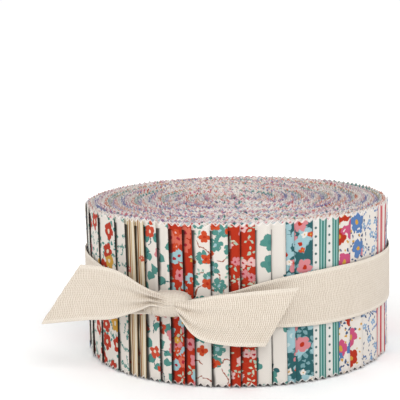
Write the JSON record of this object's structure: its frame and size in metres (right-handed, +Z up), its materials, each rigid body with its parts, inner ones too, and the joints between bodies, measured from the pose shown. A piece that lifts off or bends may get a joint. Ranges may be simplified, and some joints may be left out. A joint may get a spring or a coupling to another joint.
{
  "type": "rolled fabric strips tied with a cotton tape",
  "caption": "Drum-shaped roll of wound cotton fabric strips with shingled cut ends round its side, held by a flat cotton tape that is knotted in front and has two free tails.",
  "frame": {"origin": "on the roll's axis, on the surface that the roll stands on", "axes": "+Z up along the roll's axis, -Y towards the side with the knot, +X towards the right of that side"},
  "size_m": [0.1414, 0.1349, 0.0635],
  "materials": {
    "printed_cotton": "matt woven cotton in printed floral and striped strips",
    "cotton_tape": "matt natural cotton tape with fine cross ribs"
  },
  "bodies": {
    "root": {"fabric_roll": "printed_cotton", "ribbon_tie": "cotton_tape"}
  },
  "joints": []
}
